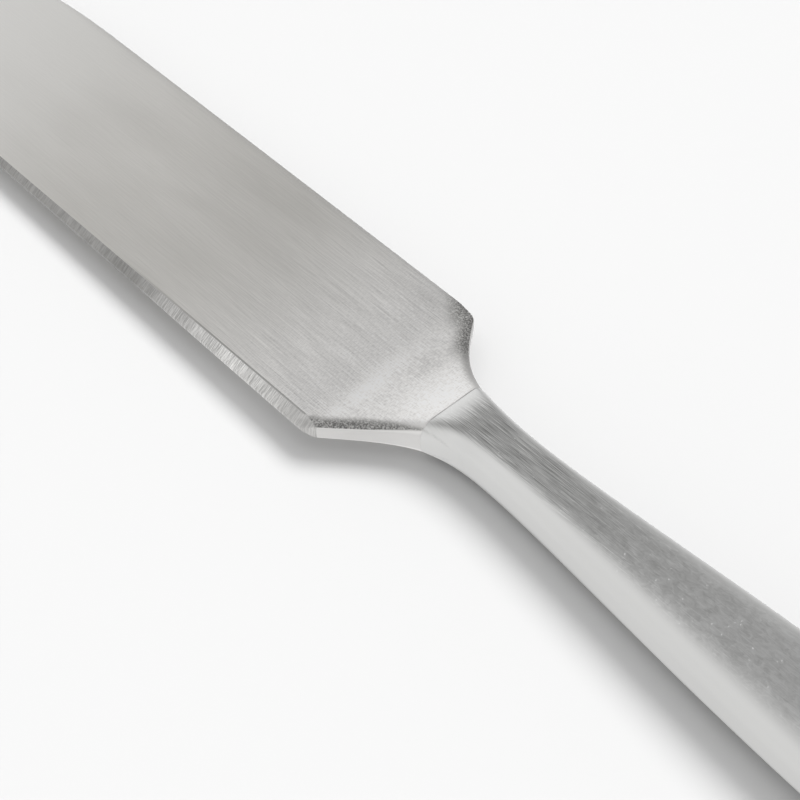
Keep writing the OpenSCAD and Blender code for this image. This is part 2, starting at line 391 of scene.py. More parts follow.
# One row across the blade: it tapers to the tip and rises through the scoop to the joint
def bladeRow(x):
    tip = -plan["bladeLength"]
    backNoseX = tip + blade["backNose"]
    frontNoseX = tip + blade["frontNose"]
    joint = handleRow(0)
    taper = clamp((x - backNoseX) / (-plan["shoulderLength"] - backNoseX))
    thick = (blade["tipThick"] + (blade["heelThick"] - blade["tipThick"]) * taper) / 2
    climb = max(x + blade["scoopLength"], 0) / blade["scoopLength"]
    thick += (joint["half"] - blade["heelThick"] / 2) * climb * climb
    thick *= 0.5 + 0.5 * clamp((x - tip) / blade["noseRim"])
    s = clamp((backNoseX - x) / blade["backNose"]) * nearEnd
    flatBack = -blade["tipDrop"] + (plan["bladeWidth"] / 2 + blade["tipDrop"]) * math.sqrt(1 - s * s)
    flatBack -= blade["heelDroop"] * clamp(1 + (x + plan["backShoulder"]) / blade["droopLength"]) ** 2
    s = clamp((frontNoseX - x) / blade["frontNose"]) * nearEnd
    flatFront = blade["tipDrop"] + (plan["bladeWidth"] / 2 - blade["tipDrop"]) * math.sqrt(1 - s * s)
    cutBack = plan["neckWidth"] / 2 + backCut(x) + plan["offset"]
    cutFront = plan["neckWidth"] / 2 + frontCut(x) - plan["offset"]
    back = softMin(flatBack, cutBack, blade["backHeelSoft"])
    front = -softMin(flatFront, cutFront, blade["frontHeelSoft"])
    behind = ease((x + plan["shoulderLength"] + blade["rollWidth"]) / blade["rollWidth"])
    nearJoint = ease(1 + x / plan["shoulderLength"])
    jointCorner = joint["corners"][0][0]
    wall = blade["shoulderWall"] / 2
    wall += (joint["half"] - plan["neckCorner"] - wall) * nearJoint
    a = blade["rollWidth"] + (jointCorner - blade["rollWidth"]) * nearJoint
    b = thick - wall
    corners = []
    for small in (blade["backCorner"], blade["frontCorner"]):
        across, high = small + (a - small) * behind, small + (b - small) * behind
        corners.append((min(across, (back - front) * 0.48), min(high, thick * fits)))
    return {"x": x, "back": back, "front": front, "half": thick, "corners": corners}


def tangRow(x, width):
    thick = blade["tangThick"]
    a = min(width, thick) * 0.2
    return {
        "x": x, "back": plan["offset"] + width / 2, "front": plan["offset"] - width / 2,
        "half": thick / 2, "corners": [(a, a), (a, a)],
    }


# The spigot that plugs the mouth of the handle, then the tang with its notches
def tangRows():
    inset = handle["wall"] + blade["spigotGap"]
    start = blade["spigotLength"]
    narrowing = blade["tangEndWidth"] - blade["tangWidth"]
    rows = [shrunk(handleRow(x), inset) for x in (0, 0.3, start - 0.3, start)]
    rows.append(tangRow(start, blade["tangWidth"]))
    for i in range(1, int((blade["tangLength"] - blade["notchLength"]) / blade["notchPitch"]) + 1):
        along = i * blade["notchPitch"]
        width = blade["tangWidth"] + narrowing * along / blade["tangLength"]
        a, b = start + along - blade["notchLength"] / 2, start + along + blade["notchLength"] / 2
        rows.append(tangRow(a, width))
        rows.append(tangRow(a, width - 2 * blade["notchDepth"]))
        rows.append(tangRow(b, width - 2 * blade["notchDepth"]))
        rows.append(tangRow(b, width))
    rows.append(tangRow(start + blade["tangLength"], blade["tangEndWidth"]))
    return rows


def makeBlade():
    tip = -plan["bladeLength"]
    heelStart = -(plan["shoulderLength"] + blade["rollWidth"])
    frontNoseX = tip + blade["frontNose"]
    turns = [math.pi / 2 * i / blade["noseRows"] for i in range(blade["noseRows"])]
    stations = [tip + blade["frontNose"] * (1 - nearEnd * math.cos(turn)) for turn in turns]
    flatLength = heelStart - frontNoseX
    stations += [frontNoseX + flatLength * i / blade["flatRows"] for i in range(blade["flatRows"])]
    stations += [heelStart - heelStart * i / blade["heelRows"] for i in range(blade["heelRows"])]
    rows = [bladeRow(x) for x in stations]
    rows += [bladeRow(-blade["edgeBreak"]), shrunk(bladeRow(0), blade["edgeBreak"])]
    rows += tangRows()

    piece = startRing("blade_forging", rows[0])
    bpy.ops.mesh.edge_face_add()  # closes the tip
    bpy.ops.mesh.select_mode(type="EDGE")
    bpy.ops.mesh.region_to_loop()
    extrudeRows(piece, rows)
    bpy.ops.mesh.edge_face_add()  # closes the tang's end
    bpy.ops.mesh.select_all(action="SELECT")
    bpy.ops.mesh.normals_make_consistent(inside=False)
    bpy.ops.object.mode_set(mode="OBJECT")

    def acrossFlat(e):
        a, b = e.verts[0].co, e.verts[1].co
        middle = middleY(a.x)
        level = abs(a.x - b.x) < tiny and abs(a.z - b.z) < tiny and abs(a.z - seamZ) > 0.01 * mm
        ahead = a.x < jointX - 0.5 * blade["edgeBreak"] * mm
        return level and ahead and (a.y - middle) * (b.y - middle) < 0

    def besideFlat(e):
        along = abs(e.verts[0].co.x - e.verts[1].co.x) > tiny
        ahead = max(v.co.x for v in e.verts) < jointX + heelStart * mm + tiny
        flat = [abs(face.normal.z) > 0.998 for face in e.link_faces]
        return along and ahead and any(flat) and not all(flat)

    bpy.ops.object.mode_set(mode="EDIT")
    bpy.ops.mesh.select_mode(type="EDGE")
    selectEdges(piece, acrossFlat)  # the flat is one broad strip, so it gets more columns
    bpy.ops.mesh.subdivide(number_cuts=blade["flatColumns"])
    selectEdges(piece, besideFlat)  # creased, so that smoothing leaves the flat even up to its edge
    bpy.ops.transform.edge_crease(value=1)
    bpy.ops.object.mode_set(mode="OBJECT")
    applyModifier(piece, "smooth", "SUBSURF", levels=blade["smooth"], render_levels=blade["smooth"])
    cutBevel(piece)
    smoothByAngle(piece, blade["softAngle"])
    return piece


# The middle of the blade's width at x, both in metres
def middleY(x):
    row = bladeRow((x - jointX) / mm)
    return (row["back"] + row["front"]) / 2 * mm


# Two flat cuts along the cutting edge, as a grinding wheel leaves them
def cutBevel(piece):
    startEditing(piece)
    rise = (blade["heelThick"] - blade["edgeLand"]) / 2
    for up in (1, -1):
        bpy.ops.mesh.select_all(action="SELECT")
        bpy.ops.mesh.bisect(
            plane_co=(0, bladeLow.y, seamZ + up * blade["edgeLand"] / 2 * mm),
            plane_no=(0, -rise, up * blade["bevelRun"]),
            clear_outer=True, use_fill=True, threshold=tiny,
        )
    bpy.ops.object.mode_set(mode="OBJECT")


# The top border of the ground edge is a straight line: its slope, and its y where x is 0
def groundEdgeLine():
    tilt = 2 * blade["bevelRun"] / (blade["heelThick"] - blade["edgeLand"])
    start = blade["backNose"] - plan["bladeLength"]
    gain = (blade["heelThick"] - blade["tipThick"]) / 2 / (-plan["shoulderLength"] - start)
    rise = (blade["tipThick"] - blade["edgeLand"]) / 2 - gain * start
    return tilt * gain, bladeLow.y + tilt * rise * mm - tilt * gain * jointX


bladePiece = makeBlade()
print("blade:", len(bladePiece.data.polygons), "faces")


def srgb(text):
    values = [int(text[i:i + 2], 16) / 255 for i in (1, 3, 5)]
    return tuple([v / 12.92 if v <= 0.04045 else ((v + 0.055) / 1.055) ** 2.4 for v in values] + [1.0])


# Noise pattern size in mm, along, across and up, turned into a Mapping node's scale
def perSize(*sizes):
    return tuple(1 / (size * mm) for size in sizes)


# Places given in mm, along the knife from the joint or across it from its middle line
def fromJoint(*ends):
    return [jointX + end * mm for end in ends]


def fromMiddle(*ends):
    return [end * mm for end in ends]


# Adds one node, sets its settings and links or sets its sockets, and hands back one of its outputs
def addNode(tree, kind, inputs, wanted=0, **settings):
    node = tree.nodes.new("ShaderNode" + kind)
    for name, value in settings.items():
        setattr(node, name, value)
    for socket, value in inputs.items():
        if isinstance(value, bpy.types.NodeSocket):
            tree.links.new(value, node.inputs[socket])
        else:
            node.inputs[socket].default_value = value
    return node.outputs[wanted] if node.outputs else None


def newMaterial(name):
    material = bpy.data.materials.new(name)
    material.use_nodes = True
    material.node_tree.nodes.clear()
    return material, material.node_tree


brushed = {
    "colour": "#e9e7e3",
    "dull": "#c9c7c2",
    "roughness": 0.34,
    "tipColour": "#eae9e6",  # towards the tip it is a little paler: a painted highlight
    "tipFinish": (-40, -75),  # mm from the joint
    # paler at the heel: partly the crosswise finish, partly a painted highlight
    "heelColour": "#f9f8f7",
    "heelRoughness": 0.5,
    "heelFinish": (-30, -8),  # here the finish turns from lengthwise to crosswise
    "streak": (4, 0.12, 0.12),  # mm: hair-thin scratches, real ones are near 0.05 wide
    "crossStreak": (0.1, 0.4, 0.4),
    "cloud": (16, 5, 5),  # mm: broad uneven patches
    "blastGrain": 0.15,  # mm: real blasting is finer, drawn coarser so that it shows
    # dark end of the blasted grain, partly painted shade of the roll
    "blastAndShadeDark": "#888785",
    "blastLight": "#e4e3e1",
    "lineColour": "#8b8a88",
    "scribeLine": 0.09,  # mm: half the width of the line along the top of the ground edge
    "scribeStart": (-36, -22),  # mm from the joint
    "scribeEnd": (-8.6, -8.2),
    "jointLine": (-0.15, -0.05),  # a fine dark line of polish left in the joint
    "jointFront": (-2.8, -1.4),  # mm: it fades out on the way to the front and to the back
    "jointBack": (3.5, 2.2),
    "lineTone": 0.085,  # how far the scratches lighten and darken the steel
    "relief": 0.006,  # mm: how high they stand, and the blasted grain stands four times higher
    "frontBlast": (0.5, 1.6),  # mm: width of the blasted strip at the joint and at the heel
    "frontWidens": (0, -5.5),  # mm from the joint
    "frontStarts": (-9, -7.8),
    "backBlast": (0.5, 2.5),
    "backWidens": (-3, -5.6),
    "backStarts": (-11.5, -7.5),
    # painted highlight and shade on the heel: how much paler, the place in mm from the joint, and the
    # reach
    "paleBar": (0.8, -7.4, -2.5, 0.9, 5),  # a painted highlight across the heel
    "barSlant": 0.12,
    "heelLightMarks": (
        (-0.6, -5.4, 2.5, 1.1, 2.2),  # painted shade behind the bar
        (-0.5, -11.5, 8, 3, 1.8),  # and painted shade along the back
        (0.75, -1.6, 0.3, 2.6, 4),  # a painted highlight on the scoop, next to the joint
    ),
    "sideShade": 0.75,  # painted shade: how much darker the upright sides of the shoulder are
    # painted shade along the faint crease on the side
    "creaseShade": 0.6,
}


# Stainless blade steel, belt-brushed along its length: reflections smear across the blade and break
# into hair-thin lines. Towards the heel it is brushed crosswise, and the rolled edges behind the heel
# are bead-blasted, so they look grainy and darker, their darkness partly painted shade of the roll. It
# is paler towards the tip as a painted highlight, and paler at the heel, partly with the crosswise
# finish and partly as a painted highlight; painted highlight and shade also lie in patches on the heel,
# on its upright sides and along the side crease.
def brushedStainlessSteel():
    material, tree = newMaterial("brushed_stainless_steel")
    place = addNode(tree, "TexCoord", {}, "Object")
    x = addNode(tree, "SeparateXYZ", {0: place}, "X")
    y = addNode(tree, "SeparateXYZ", {0: place}, "Y")
    start, end = fromJoint(*brushed["heelFinish"])
    heel = addNode(tree, "MapRange", {0: x, 1: start, 2: end}, interpolation_type="SMOOTHSTEP")
    start, end = fromJoint(*brushed["tipFinish"])
    tipward = addNode(tree, "MapRange", {0: x, 1: start, 2: end}, interpolation_type="SMOOTHSTEP")

    longways = addNode(tree, "Mapping", {"Vector": place, "Scale": perSize(*brushed["streak"])})
    streaks = addNode(
        tree, "TexNoise", {"Vector": longways, "Scale": 1.0, "Detail": 4.0, "Roughness": 0.62},
    )
    crossways = addNode(tree, "Mapping", {"Vector": place, "Scale": perSize(*brushed["crossStreak"])})
    crossStreaks = addNode(
        tree, "TexNoise", {"Vector": crossways, "Scale": 1.0, "Detail": 3.0, "Roughness": 0.6},
    )
    crossShare = addNode(tree, "Math", {0: heel, 1: 0.5}, operation="MULTIPLY")
    lines = addNode(tree, "Mix", {0: crossShare, 2: streaks, 3: crossStreaks}, 0, data_type="FLOAT")
    broad = addNode(tree, "Mapping", {"Vector": place, "Scale": perSize(*brushed["cloud"])})
    clouds = addNode(tree, "TexNoise", {"Vector": broad, "Scale": 1.0, "Detail": 2.0})
    # painted highlight and shade on the heel, multiplied into the colour below
    smear = addNode(tree, "Attribute", {}, "Fac", attribute_name="heelPaintedLight")
    tone = addNode(tree, "MapRange", {0: clouds, 1: 0.3, 2: 0.7, 3: 0.4, 4: 0.75})
    dull, clean = srgb(brushed["dull"]), srgb(brushed["colour"])
    colour = addNode(tree, "Mix", {0: tone, 6: dull, 7: clean}, 2, data_type="RGBA")
    # a painted highlight: paler towards the tip
    colour = addNode(
        tree, "Mix", {0: tipward, 6: colour, 7: srgb(brushed["tipColour"])}, 2, data_type="RGBA",
    )
    # the heel paler: partly the crosswise finish, partly a painted highlight
    heelShare = addNode(tree, "Math", {0: heel, 1: 0.75}, operation="MULTIPLY")
    colour = addNode(
        tree, "Mix", {0: heelShare, 6: colour, 7: srgb(brushed["heelColour"])}, 2, data_type="RGBA",
    )
    face = addNode(tree, "Attribute", {}, "Fac", attribute_name="broadFace")
    most = brushed["lineTone"]
    lineTone = addNode(tree, "MapRange", {0: lines, 1: 0.25, 2: 0.75, 3: -most, 4: most})
    lineShare = addNode(tree, "Math", {0: heel, 1: 3.6, 2: 0.9}, operation="MULTIPLY_ADD")
    lineShare = addNode(tree, "Math", {0: tipward, 1: -0.5, 2: lineShare}, operation="MULTIPLY_ADD")
    lineShare = addNode(tree, "Math", {0: lineShare, 1: face}, operation="MULTIPLY")
    lineTone = addNode(tree, "Math", {0: lineTone, 1: lineShare, 2: 1.0}, operation="MULTIPLY_ADD")
    smearTone = addNode(tree, "Math", {0: smear, 1: 0.2, 2: lineTone}, operation="MULTIPLY_ADD")
    smearGrey = addNode(tree, "CombineColor", {0: smearTone, 1: smearTone, 2: smearTone})
    colour = addNode(
        tree, "Mix", {0: 1.0, 6: colour, 7: smearGrey}, 2, data_type="RGBA", blend_type="MULTIPLY",
    )

    # the line along the top of the ground edge, from the middle of the blade to its heel
    slope, atZero = groundEdgeLine()
    edgeTop = addNode(tree, "Math", {0: x, 1: slope, 2: atZero}, operation="MULTIPLY_ADD")
    fromEdge = addNode(tree, "Math", {0: y, 1: edgeTop}, operation="SUBTRACT")
    width = brushed["scribeLine"] * mm
    onLine = addNode(tree, "Math", {0: fromEdge, 1: width, 2: width}, operation="COMPARE")
    start, end = fromJoint(*brushed["scribeStart"])
    scribe = addNode(tree, "MapRange", {0: x, 1: start, 2: end, 3: 0.0, 4: 0.6})
    start, end = fromJoint(*brushed["scribeEnd"])
    scribeEnd = addNode(tree, "MapRange", {0: x, 1: start, 2: end, 3: 1.0, 4: 0.0})
    for share in (onLine, scribeEnd):
        scribe = addNode(tree, "Math", {0: scribe, 1: share}, operation="MULTIPLY")
    colour = addNode(
        tree, "Mix", {0: scribe, 6: colour, 7: srgb(brushed["lineColour"])}, 2, data_type="RGBA",
    )

    # the line at the joint, on the top and underside only
    start, end = fromJoint(*brushed["jointLine"])
    joint = addNode(tree, "MapRange", {0: x, 1: start, 2: end}, interpolation_type="SMOOTHSTEP")
    start, end = fromMiddle(*brushed["jointFront"])
    frontFade = addNode(tree, "MapRange", {0: y, 1: start, 2: end, 3: 0.0, 4: 0.55})
    start, end = fromMiddle(*brushed["jointBack"])
    backFade = addNode(tree, "MapRange", {0: y, 1: start, 2: end})
    for share in (frontFade, backFade, face):
        joint = addNode(tree, "Math", {0: joint, 1: share}, operation="MULTIPLY")
    colour = addNode(
        tree, "Mix", {0: joint, 6: colour, 7: srgb(brushed["lineColour"])}, 2, data_type="RGBA",
    )

    # the blasted edges: a ragged border, and a grain in their colour and height; their dark colour is
    # partly painted shade of the roll
    fine = addNode(tree, "Mapping", {"Vector": place, "Scale": perSize(*[brushed["blastGrain"]] * 3)})
    blasting = addNode(
        tree, "TexNoise", {"Vector": fine, "Scale": 1.0, "Detail": 2.0, "Roughness": 0.7},
    )
    cutDepth = addNode(tree, "Attribute", {}, "Fac", attribute_name="heelCut")
    ragged = addNode(tree, "Math", {0: blasting, 1: 0.9, 2: cutDepth}, operation="MULTIPLY_ADD")
    cut = addNode(tree, "MapRange", {0: ragged, 1: 0.05, 2: 0.95}, interpolation_type="SMOOTHSTEP")
    blastTone = addNode(tree, "MapRange", {0: blasting, 1: 0.4, 2: 0.62})
    dark, light = srgb(brushed["blastAndShadeDark"]), srgb(brushed["blastLight"])
    blastColour = addNode(tree, "Mix", {0: blastTone, 6: dark, 7: light}, 2, data_type="RGBA")
    colour = addNode(tree, "Mix", {0: cut, 6: colour, 7: blastColour}, 2, data_type="RGBA")

    rough = addNode(tree, "MapRange", {
        0: lines, 1: 0.3, 2: 0.7, 3: brushed["roughness"] - 0.05, 4: brushed["roughness"] + 0.05,
    })
    heelRough = brushed["heelRoughness"] - brushed["roughness"]
    rough = addNode(tree, "Math", {0: heel, 1: heelRough, 2: rough}, operation="MULTIPLY_ADD")
    rough = addNode(tree, "Math", {0: cut, 1: 0.1, 2: rough}, operation="MULTIPLY_ADD")
    blastHeight = addNode(tree, "Math", {0: blasting, 1: cut}, operation="MULTIPLY")
    height = addNode(tree, "Math", {0: blastHeight, 1: 4.0, 2: lines}, operation="MULTIPLY_ADD")
    bump = addNode(
        tree, "Bump", {"Strength": 1.0, "Distance": brushed["relief"] * mm, "Height": height},
    )
    tangent = addNode(tree, "Tangent", {}, direction_type="UV_MAP", uv_map="UVMap")
    turn = addNode(tree, "Math", {0: heel, 1: 0.25}, operation="MULTIPLY")
    shader = addNode(tree, "BsdfPrincipled", {
        "Base Color": colour, "Metallic": 1.0, "Roughness": rough, "Anisotropic": 0.5,
        "Anisotropic Rotation": turn, "Normal": bump, "Tangent": tangent,
    })
    addNode(tree, "OutputMaterial", {"Surface": shader})
    return material


groundEdge = {
    "dark": "#a9a8a6",
    "light": "#fdfcfa",
    "tipDark": "#838280",
    "tipLight": "#adacaa",
    "mark": (0.09, 1.5, 1.5),  # mm: marks of the grinding wheel, square to the edge
    "wave": 2.5,  # mm: the wheel was pressed on unevenly
    "relief": 0.035,
    "tipShadeEnds": (-32, -18),  # mm from the joint: here the painted shade towards the tip gives way
    # mm from the joint: painted shade, darker towards the heel's end
    "shadedHeel": (-15, -9.5),
    "reach": 1.2,  # mm: it lies this near to the cutting edge
    "heelEnd": 0.9,  # and ends here, as a share of the shoulder's length
}


# The same steel ground across on a wheel: short marks square to the edge, some of them painted paler as
# glints, and painted shade makes it darker towards the tip and at the heel's end
def crossGroundEdge():
    material, tree = newMaterial("cross_ground_edge_steel")
    place = addNode(tree, "TexCoord", {}, "Object")
    x = addNode(tree, "SeparateXYZ", {0: place}, "X")
    across = addNode(tree, "Mapping", {"Vector": place, "Scale": perSize(*groundEdge["mark"])})
    marks = addNode(
        tree, "TexNoise", {"Vector": across, "Scale": 1.0, "Detail": 3.0, "Roughness": 0.75},
    )
    waves = addNode(
        tree, "TexNoise", {"Vector": place, "Scale": 1 / (groundEdge["wave"] * mm), "Detail": 2.0},
    )
    marksTone = addNode(tree, "MapRange", {0: marks, 1: 0.4, 2: 0.6, 3: 0.0, 4: 0.75})
    waveTone = addNode(tree, "MapRange", {0: waves, 1: 0.3, 2: 0.7, 3: 0.0, 4: 0.25})
    tone = addNode(tree, "Math", {0: marksTone, 1: waveTone}, operation="ADD")
    # painted shade: darker towards the heel's end
    start, end = fromJoint(*groundEdge["shadedHeel"])
    atHeel = addNode(tree, "MapRange", {0: x, 1: start, 2: end, 3: 1.0, 4: 0.45})
    tone = addNode(tree, "Math", {0: tone, 1: atHeel}, operation="MULTIPLY")
    # painted shade: darker towards the tip
    start, end = fromJoint(*groundEdge["tipShadeEnds"])
    heelward = addNode(tree, "MapRange", {0: x, 1: start, 2: end})
    shades = []
    for atTip, further in (("tipDark", "dark"), ("tipLight", "light")):
        mix = {0: heelward, 6: srgb(groundEdge[atTip]), 7: srgb(groundEdge[further])}
        shades.append(addNode(tree, "Mix", mix, 2, data_type="RGBA"))
    colour = addNode(tree, "Mix", {0: tone, 6: shades[0], 7: shades[1]}, 2, data_type="RGBA")
    rough = addNode(tree, "MapRange", {0: marks, 1: 0.3, 2: 0.7, 3: 0.3, 4: 0.45})
    bump = addNode(
        tree, "Bump", {"Strength": 1.0, "Distance": groundEdge["relief"] * mm, "Height": marks},
    )
    shader = addNode(tree, "BsdfPrincipled", {
        "Base Color": colour, "Metallic": 1.0, "Roughness": rough, "Normal": bump,
    })
    addNode(tree, "OutputMaterial", {"Surface": shader})
    return material


satin = {
    "colour": "#f0f0ef",
    "dull": "#c6c6c4",
    "shade": "#9c9c9a",  # painted shade: the dark tongue that runs from the neck into the roll of the shoulder
    "roughness": 0.31,
    "neckLines": (3.2, 0.075, 3),  # mm: scratches of the last polish near the neck
    "neckEnd": (8, 26),  # mm from the joint: they give way to the blotches
    "pastCrest": (0.5, 2.6),  # and they begin behind the crest
    "peel": (0.8, 0.5, 0.5),  # mm: the faint blotches of pressed sheet
    "scratch": (1.6, 0.07, 0.07),
    "scratchSlant": 38,  # degrees
    "speckSpacing": 0.6,
    "brighter": (16, 50),  # mm from the joint: a painted highlight, a little brighter towards the butt
    # mm from the joint: painted shade, the sides are drawn darker than the broad faces, more so from
    # the joint to here
    "sides": (0, 18),
    "peelTone": 0.36,  # how far each of them lightens and darkens the steel
    "scratchTone": 0.5,
    "speckTone": 1.4,
    "lineTone": (-0.42, 0.22),
    "relief": 0.006,
    # painted shade on the neck: how much, the place in mm from the joint, and the reach
    "tongue": (0.9, 1, -2.29, 1.5, 0.5),  # out of the shoulder's roll
    "tongueSlant": 0.45,
    "patch": (0.35, 4.2, 0.2, 1.6, 1.8),  # behind the crest
    "creaseShade": 0.35,
}


# Stainless sheet, pressed and satin-polished: the sides are even and soft, and drawn darker as painted
# shade. On the broad faces long scratches run out of the neck and give way to faint blotches, fine
# slanting scratches and a few bright specks, so the dark reflection of the ceiling looks worn. Painted
# shade darkens the neck, and painted highlights lie on the crest and towards the butt.
def satinPolishedSteel():
    material, tree = newMaterial("satin_polished_steel")
    place = addNode(tree, "TexCoord", {}, "Object")
    x = addNode(tree, "SeparateXYZ", {0: place}, "X")
    face = addNode(tree, "Attribute", {}, "Fac", attribute_name="broadFace")
    start, end = fromJoint(*satin["brighter"])
    buttward = addNode(tree, "MapRange", {0: x, 1: start, 2: end, 3: -0.3, 4: 0.45})
    start, end = fromJoint(*satin["neckEnd"])
    neck = addNode(
        tree, "MapRange", {0: x, 1: start, 2: end, 3: 1.0, 4: 0.06}, interpolation_type="SMOOTHSTEP",
    )
    away = addNode(tree, "Math", {0: 1.1, 1: neck}, operation="SUBTRACT")
    start, end = fromJoint(*satin["pastCrest"])
    pastCrest = addNode(tree, "MapRange", {0: x, 1: start, 2: end})
    neck = addNode(tree, "Math", {0: neck, 1: pastCrest}, operation="MULTIPLY")

    longways = addNode(tree, "Mapping", {"Vector": place, "Scale": perSize(*satin["neckLines"])})
    lines = addNode(
        tree, "TexNoise", {"Vector": longways, "Scale": 1.0, "Detail": 2.0, "Roughness": 0.6},
    )
    blotched = addNode(tree, "Mapping", {"Vector": place, "Scale": perSize(*satin["peel"])})
    peel = addNode(tree, "TexNoise", {
        "Vector": blotched, "Scale": 1.0, "Detail": 5.0, "Roughness": 0.66, "Distortion": 0.8,
    })
    slanting = addNode(tree, "Mapping", {
        "Vector": place, "Rotation": (0, 0, math.radians(satin["scratchSlant"])),
        "Scale": perSize(*satin["scratch"]),
    })
    scratches = addNode(tree, "TexNoise", {"Vector": slanting, "Scale": 1.0, "Detail": 1.0})
    scratches = addNode(tree, "MapRange", {0: scratches, 1: 0.6, 2: 0.7})
    speckScale = 1 / (satin["speckSpacing"] * mm)
    cells = addNode(tree, "TexVoronoi", {"Vector": place, "Scale": speckScale}, "Distance")
    specks = addNode(tree, "MapRange", {0: cells, 1: 0.17, 2: 0.1})
    sparse = addNode(tree, "MapRange", {0: peel, 1: 0.53, 2: 0.59})
    specks = addNode(tree, "Math", {0: specks, 1: sparse}, operation="MULTIPLY")

    most = satin["peelTone"]
    peelTone = addNode(tree, "MapRange", {0: peel, 1: 0.3, 2: 0.7, 3: -most, 4: most})
    peelTone = addNode(tree, "Math", {0: peelTone, 1: away}, operation="MULTIPLY")
    tone = addNode(tree, "Math", {0: peelTone, 1: pastCrest, 2: buttward}, operation="MULTIPLY_ADD")
    tone = addNode(
        tree, "Math", {0: scratches, 1: satin["scratchTone"], 2: tone}, operation="MULTIPLY_ADD",
    )
    tone = addNode(tree, "Math", {0: specks, 1: satin["speckTone"], 2: tone}, operation="MULTIPLY_ADD")
    # a painted highlight: up to the crest the tone is higher
    tone = addNode(tree, "Math", {0: pastCrest, 1: -0.5, 2: tone}, operation="MULTIPLY_ADD")
    tone = addNode(tree, "Math", {0: tone, 1: 1.1}, operation="ADD")
    # painted shade: the sides get a darker tone than the broad faces
    start, end = fromJoint(*satin["sides"])
    sideShadeTone = addNode(tree, "MapRange", {0: x, 1: start, 2: end, 3: 0.5, 4: 0.4})
    tone = addNode(tree, "Mix", {0: face, 2: sideShadeTone, 3: tone}, 0, data_type="FLOAT")
    dull, clean = srgb(satin["dull"]), srgb(satin["colour"])
    colour = addNode(tree, "Mix", {0: tone, 6: dull, 7: clean}, 2, data_type="RGBA")
    low, high = satin["lineTone"]
    lineTone = addNode(tree, "MapRange", {0: lines, 1: 0.36, 2: 0.64, 3: low, 4: high}, clamp=False)
    lineTone = addNode(tree, "Math", {0: lineTone, 1: neck}, operation="MULTIPLY")
    lineTone = addNode(tree, "Math", {0: lineTone, 1: face, 2: 1.0}, operation="MULTIPLY_ADD")
    lineGrey = addNode(tree, "CombineColor", {0: lineTone, 1: lineTone, 2: lineTone})
    colour = addNode(
        tree, "Mix", {0: 1.0, 6: colour, 7: lineGrey}, 2, data_type="RGBA", blend_type="MULTIPLY",
    )
    # painted shade on the neck, broken up by the scratch lines
    shade = addNode(tree, "Attribute", {}, "Fac", attribute_name="neckShade")
    streakedShade = addNode(tree, "MapRange", {0: lines, 1: 0.35, 2: 0.65, 3: 1.15, 4: 0.35})
    shade = addNode(tree, "Math", {0: shade, 1: streakedShade}, operation="MULTIPLY", use_clamp=True)
    colour = addNode(tree, "Mix", {0: shade, 6: colour, 7: srgb(satin["shade"])}, 2, data_type="RGBA")

    lineHeight = addNode(tree, "Math", {0: lines, 1: neck}, operation="MULTIPLY")
    peelHeight = addNode(tree, "Math", {0: peel, 1: away, 2: lineHeight}, operation="MULTIPLY_ADD")
    height = addNode(tree, "Math", {0: specks, 1: 2.5, 2: peelHeight}, operation="MULTIPLY_ADD")
    height = addNode(tree, "Math", {0: height, 1: face}, operation="MULTIPLY")
    bump = addNode(tree, "Bump", {"Strength": 1.0, "Distance": satin["relief"] * mm, "Height": height})
    uneven = addNode(tree, "MapRange", {0: peel, 1: 0.3, 2: 0.7, 3: -0.03, 4: 0.05})
    rough = addNode(tree, "Math", {0: uneven, 1: face, 2: satin["roughness"]}, operation="MULTIPLY_ADD")
    shader = addNode(tree, "BsdfPrincipled", {
        "Base Color": colour, "Metallic": 1.0, "Roughness": rough, "Normal": bump,
    })
    addNode(tree, "OutputMaterial", {"Surface": shader})
    return material


cement = {
    "dark": "#6f6a61",
    "light": "#a39d92",
    "sand": 0.35,  # mm
    "patch": 3,
    "relief": 0.08,
}


# Resin cement filled with fine sand, poured in and set: matt and pitted, with pale grains in it
def pouredCement():
    material, tree = newMaterial("poured_sand_cement")
    place = addNode(tree, "TexCoord", {}, "Object")
    sand = addNode(
        tree, "TexVoronoi", {"Vector": place, "Scale": 1 / (cement["sand"] * mm)}, "Distance",
    )
    patches = addNode(tree, "TexNoise", {
        "Vector": place, "Scale": 1 / (cement["patch"] * mm), "Detail": 6.0, "Roughness": 0.7,
    })
    grains = addNode(tree, "MapRange", {0: sand, 1: 0.1, 2: 0.5, 3: 0.6, 4: 0.0})
    tone = addNode(tree, "Math", {0: patches, 1: grains}, operation="ADD")
    dark, light = srgb(cement["dark"]), srgb(cement["light"])
    colour = addNode(tree, "Mix", {0: tone, 6: dark, 7: light}, 2, data_type="RGBA")
    bump = addNode(tree, "Bump", {"Strength": 1.0, "Distance": cement["relief"] * mm, "Height": tone})
    shader = addNode(tree, "BsdfPrincipled", {"Base Color": colour, "Roughness": 0.9, "Normal": bump})
    addNode(tree, "OutputMaterial", {"Surface": shader})
    return material


solder = {
    "bright": "#c9c7c1",
    "oxide": "#8c8a84",
    "ripple": (0.5, 1.2, 1.2),  # mm
    "patch": 2,
    "relief": 0.05,
}


